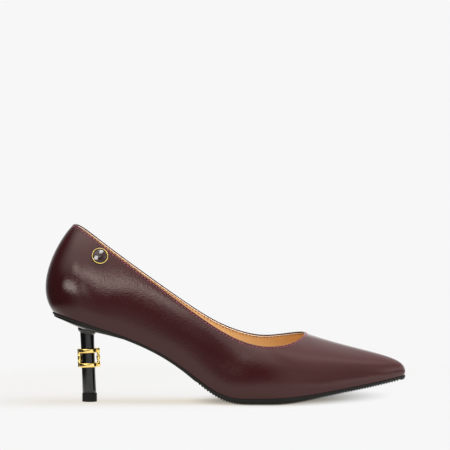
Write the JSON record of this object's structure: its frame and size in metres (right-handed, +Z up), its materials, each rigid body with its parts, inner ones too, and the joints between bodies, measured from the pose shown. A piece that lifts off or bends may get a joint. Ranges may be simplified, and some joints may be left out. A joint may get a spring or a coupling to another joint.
{
  "type": "pointed toe pump",
  "caption": "Pointed toe pump for the right foot with a low-cut collar, thin arched sole, slim round post heel with a metal ring ornament, and a plain round badge on the outer side",
  "frame": {"origin": "middle of the floor print, on the floor under the shoe", "axes": "+X runs from the heel to the toe, +Y points to the inner side of the foot, +Z is up"},
  "size_m": [0.252, 0.0734, 0.1249],
  "materials": {
    "upper_leather": "smooth satin burgundy",
    "lining_leather": "matt tan",
    "sole_rubber": "satin black",
    "heel_plastic": "gloss black lacquer",
    "tip_rubber": "matt black",
    "gold_metal": "polished gold",
    "badge_enamel": "gloss dark enamel"
  },
  "bodies": {
    "root": {"upper": "upper_leather", "insole": "lining_leather", "outsole": "sole_rubber", "heel": "heel_plastic", "heel_tip": "tip_rubber", "heel_ornament": "gold_metal", "badge_rim": "gold_metal", "badge_dome": "badge_enamel"}
  },
  "joints": []
}
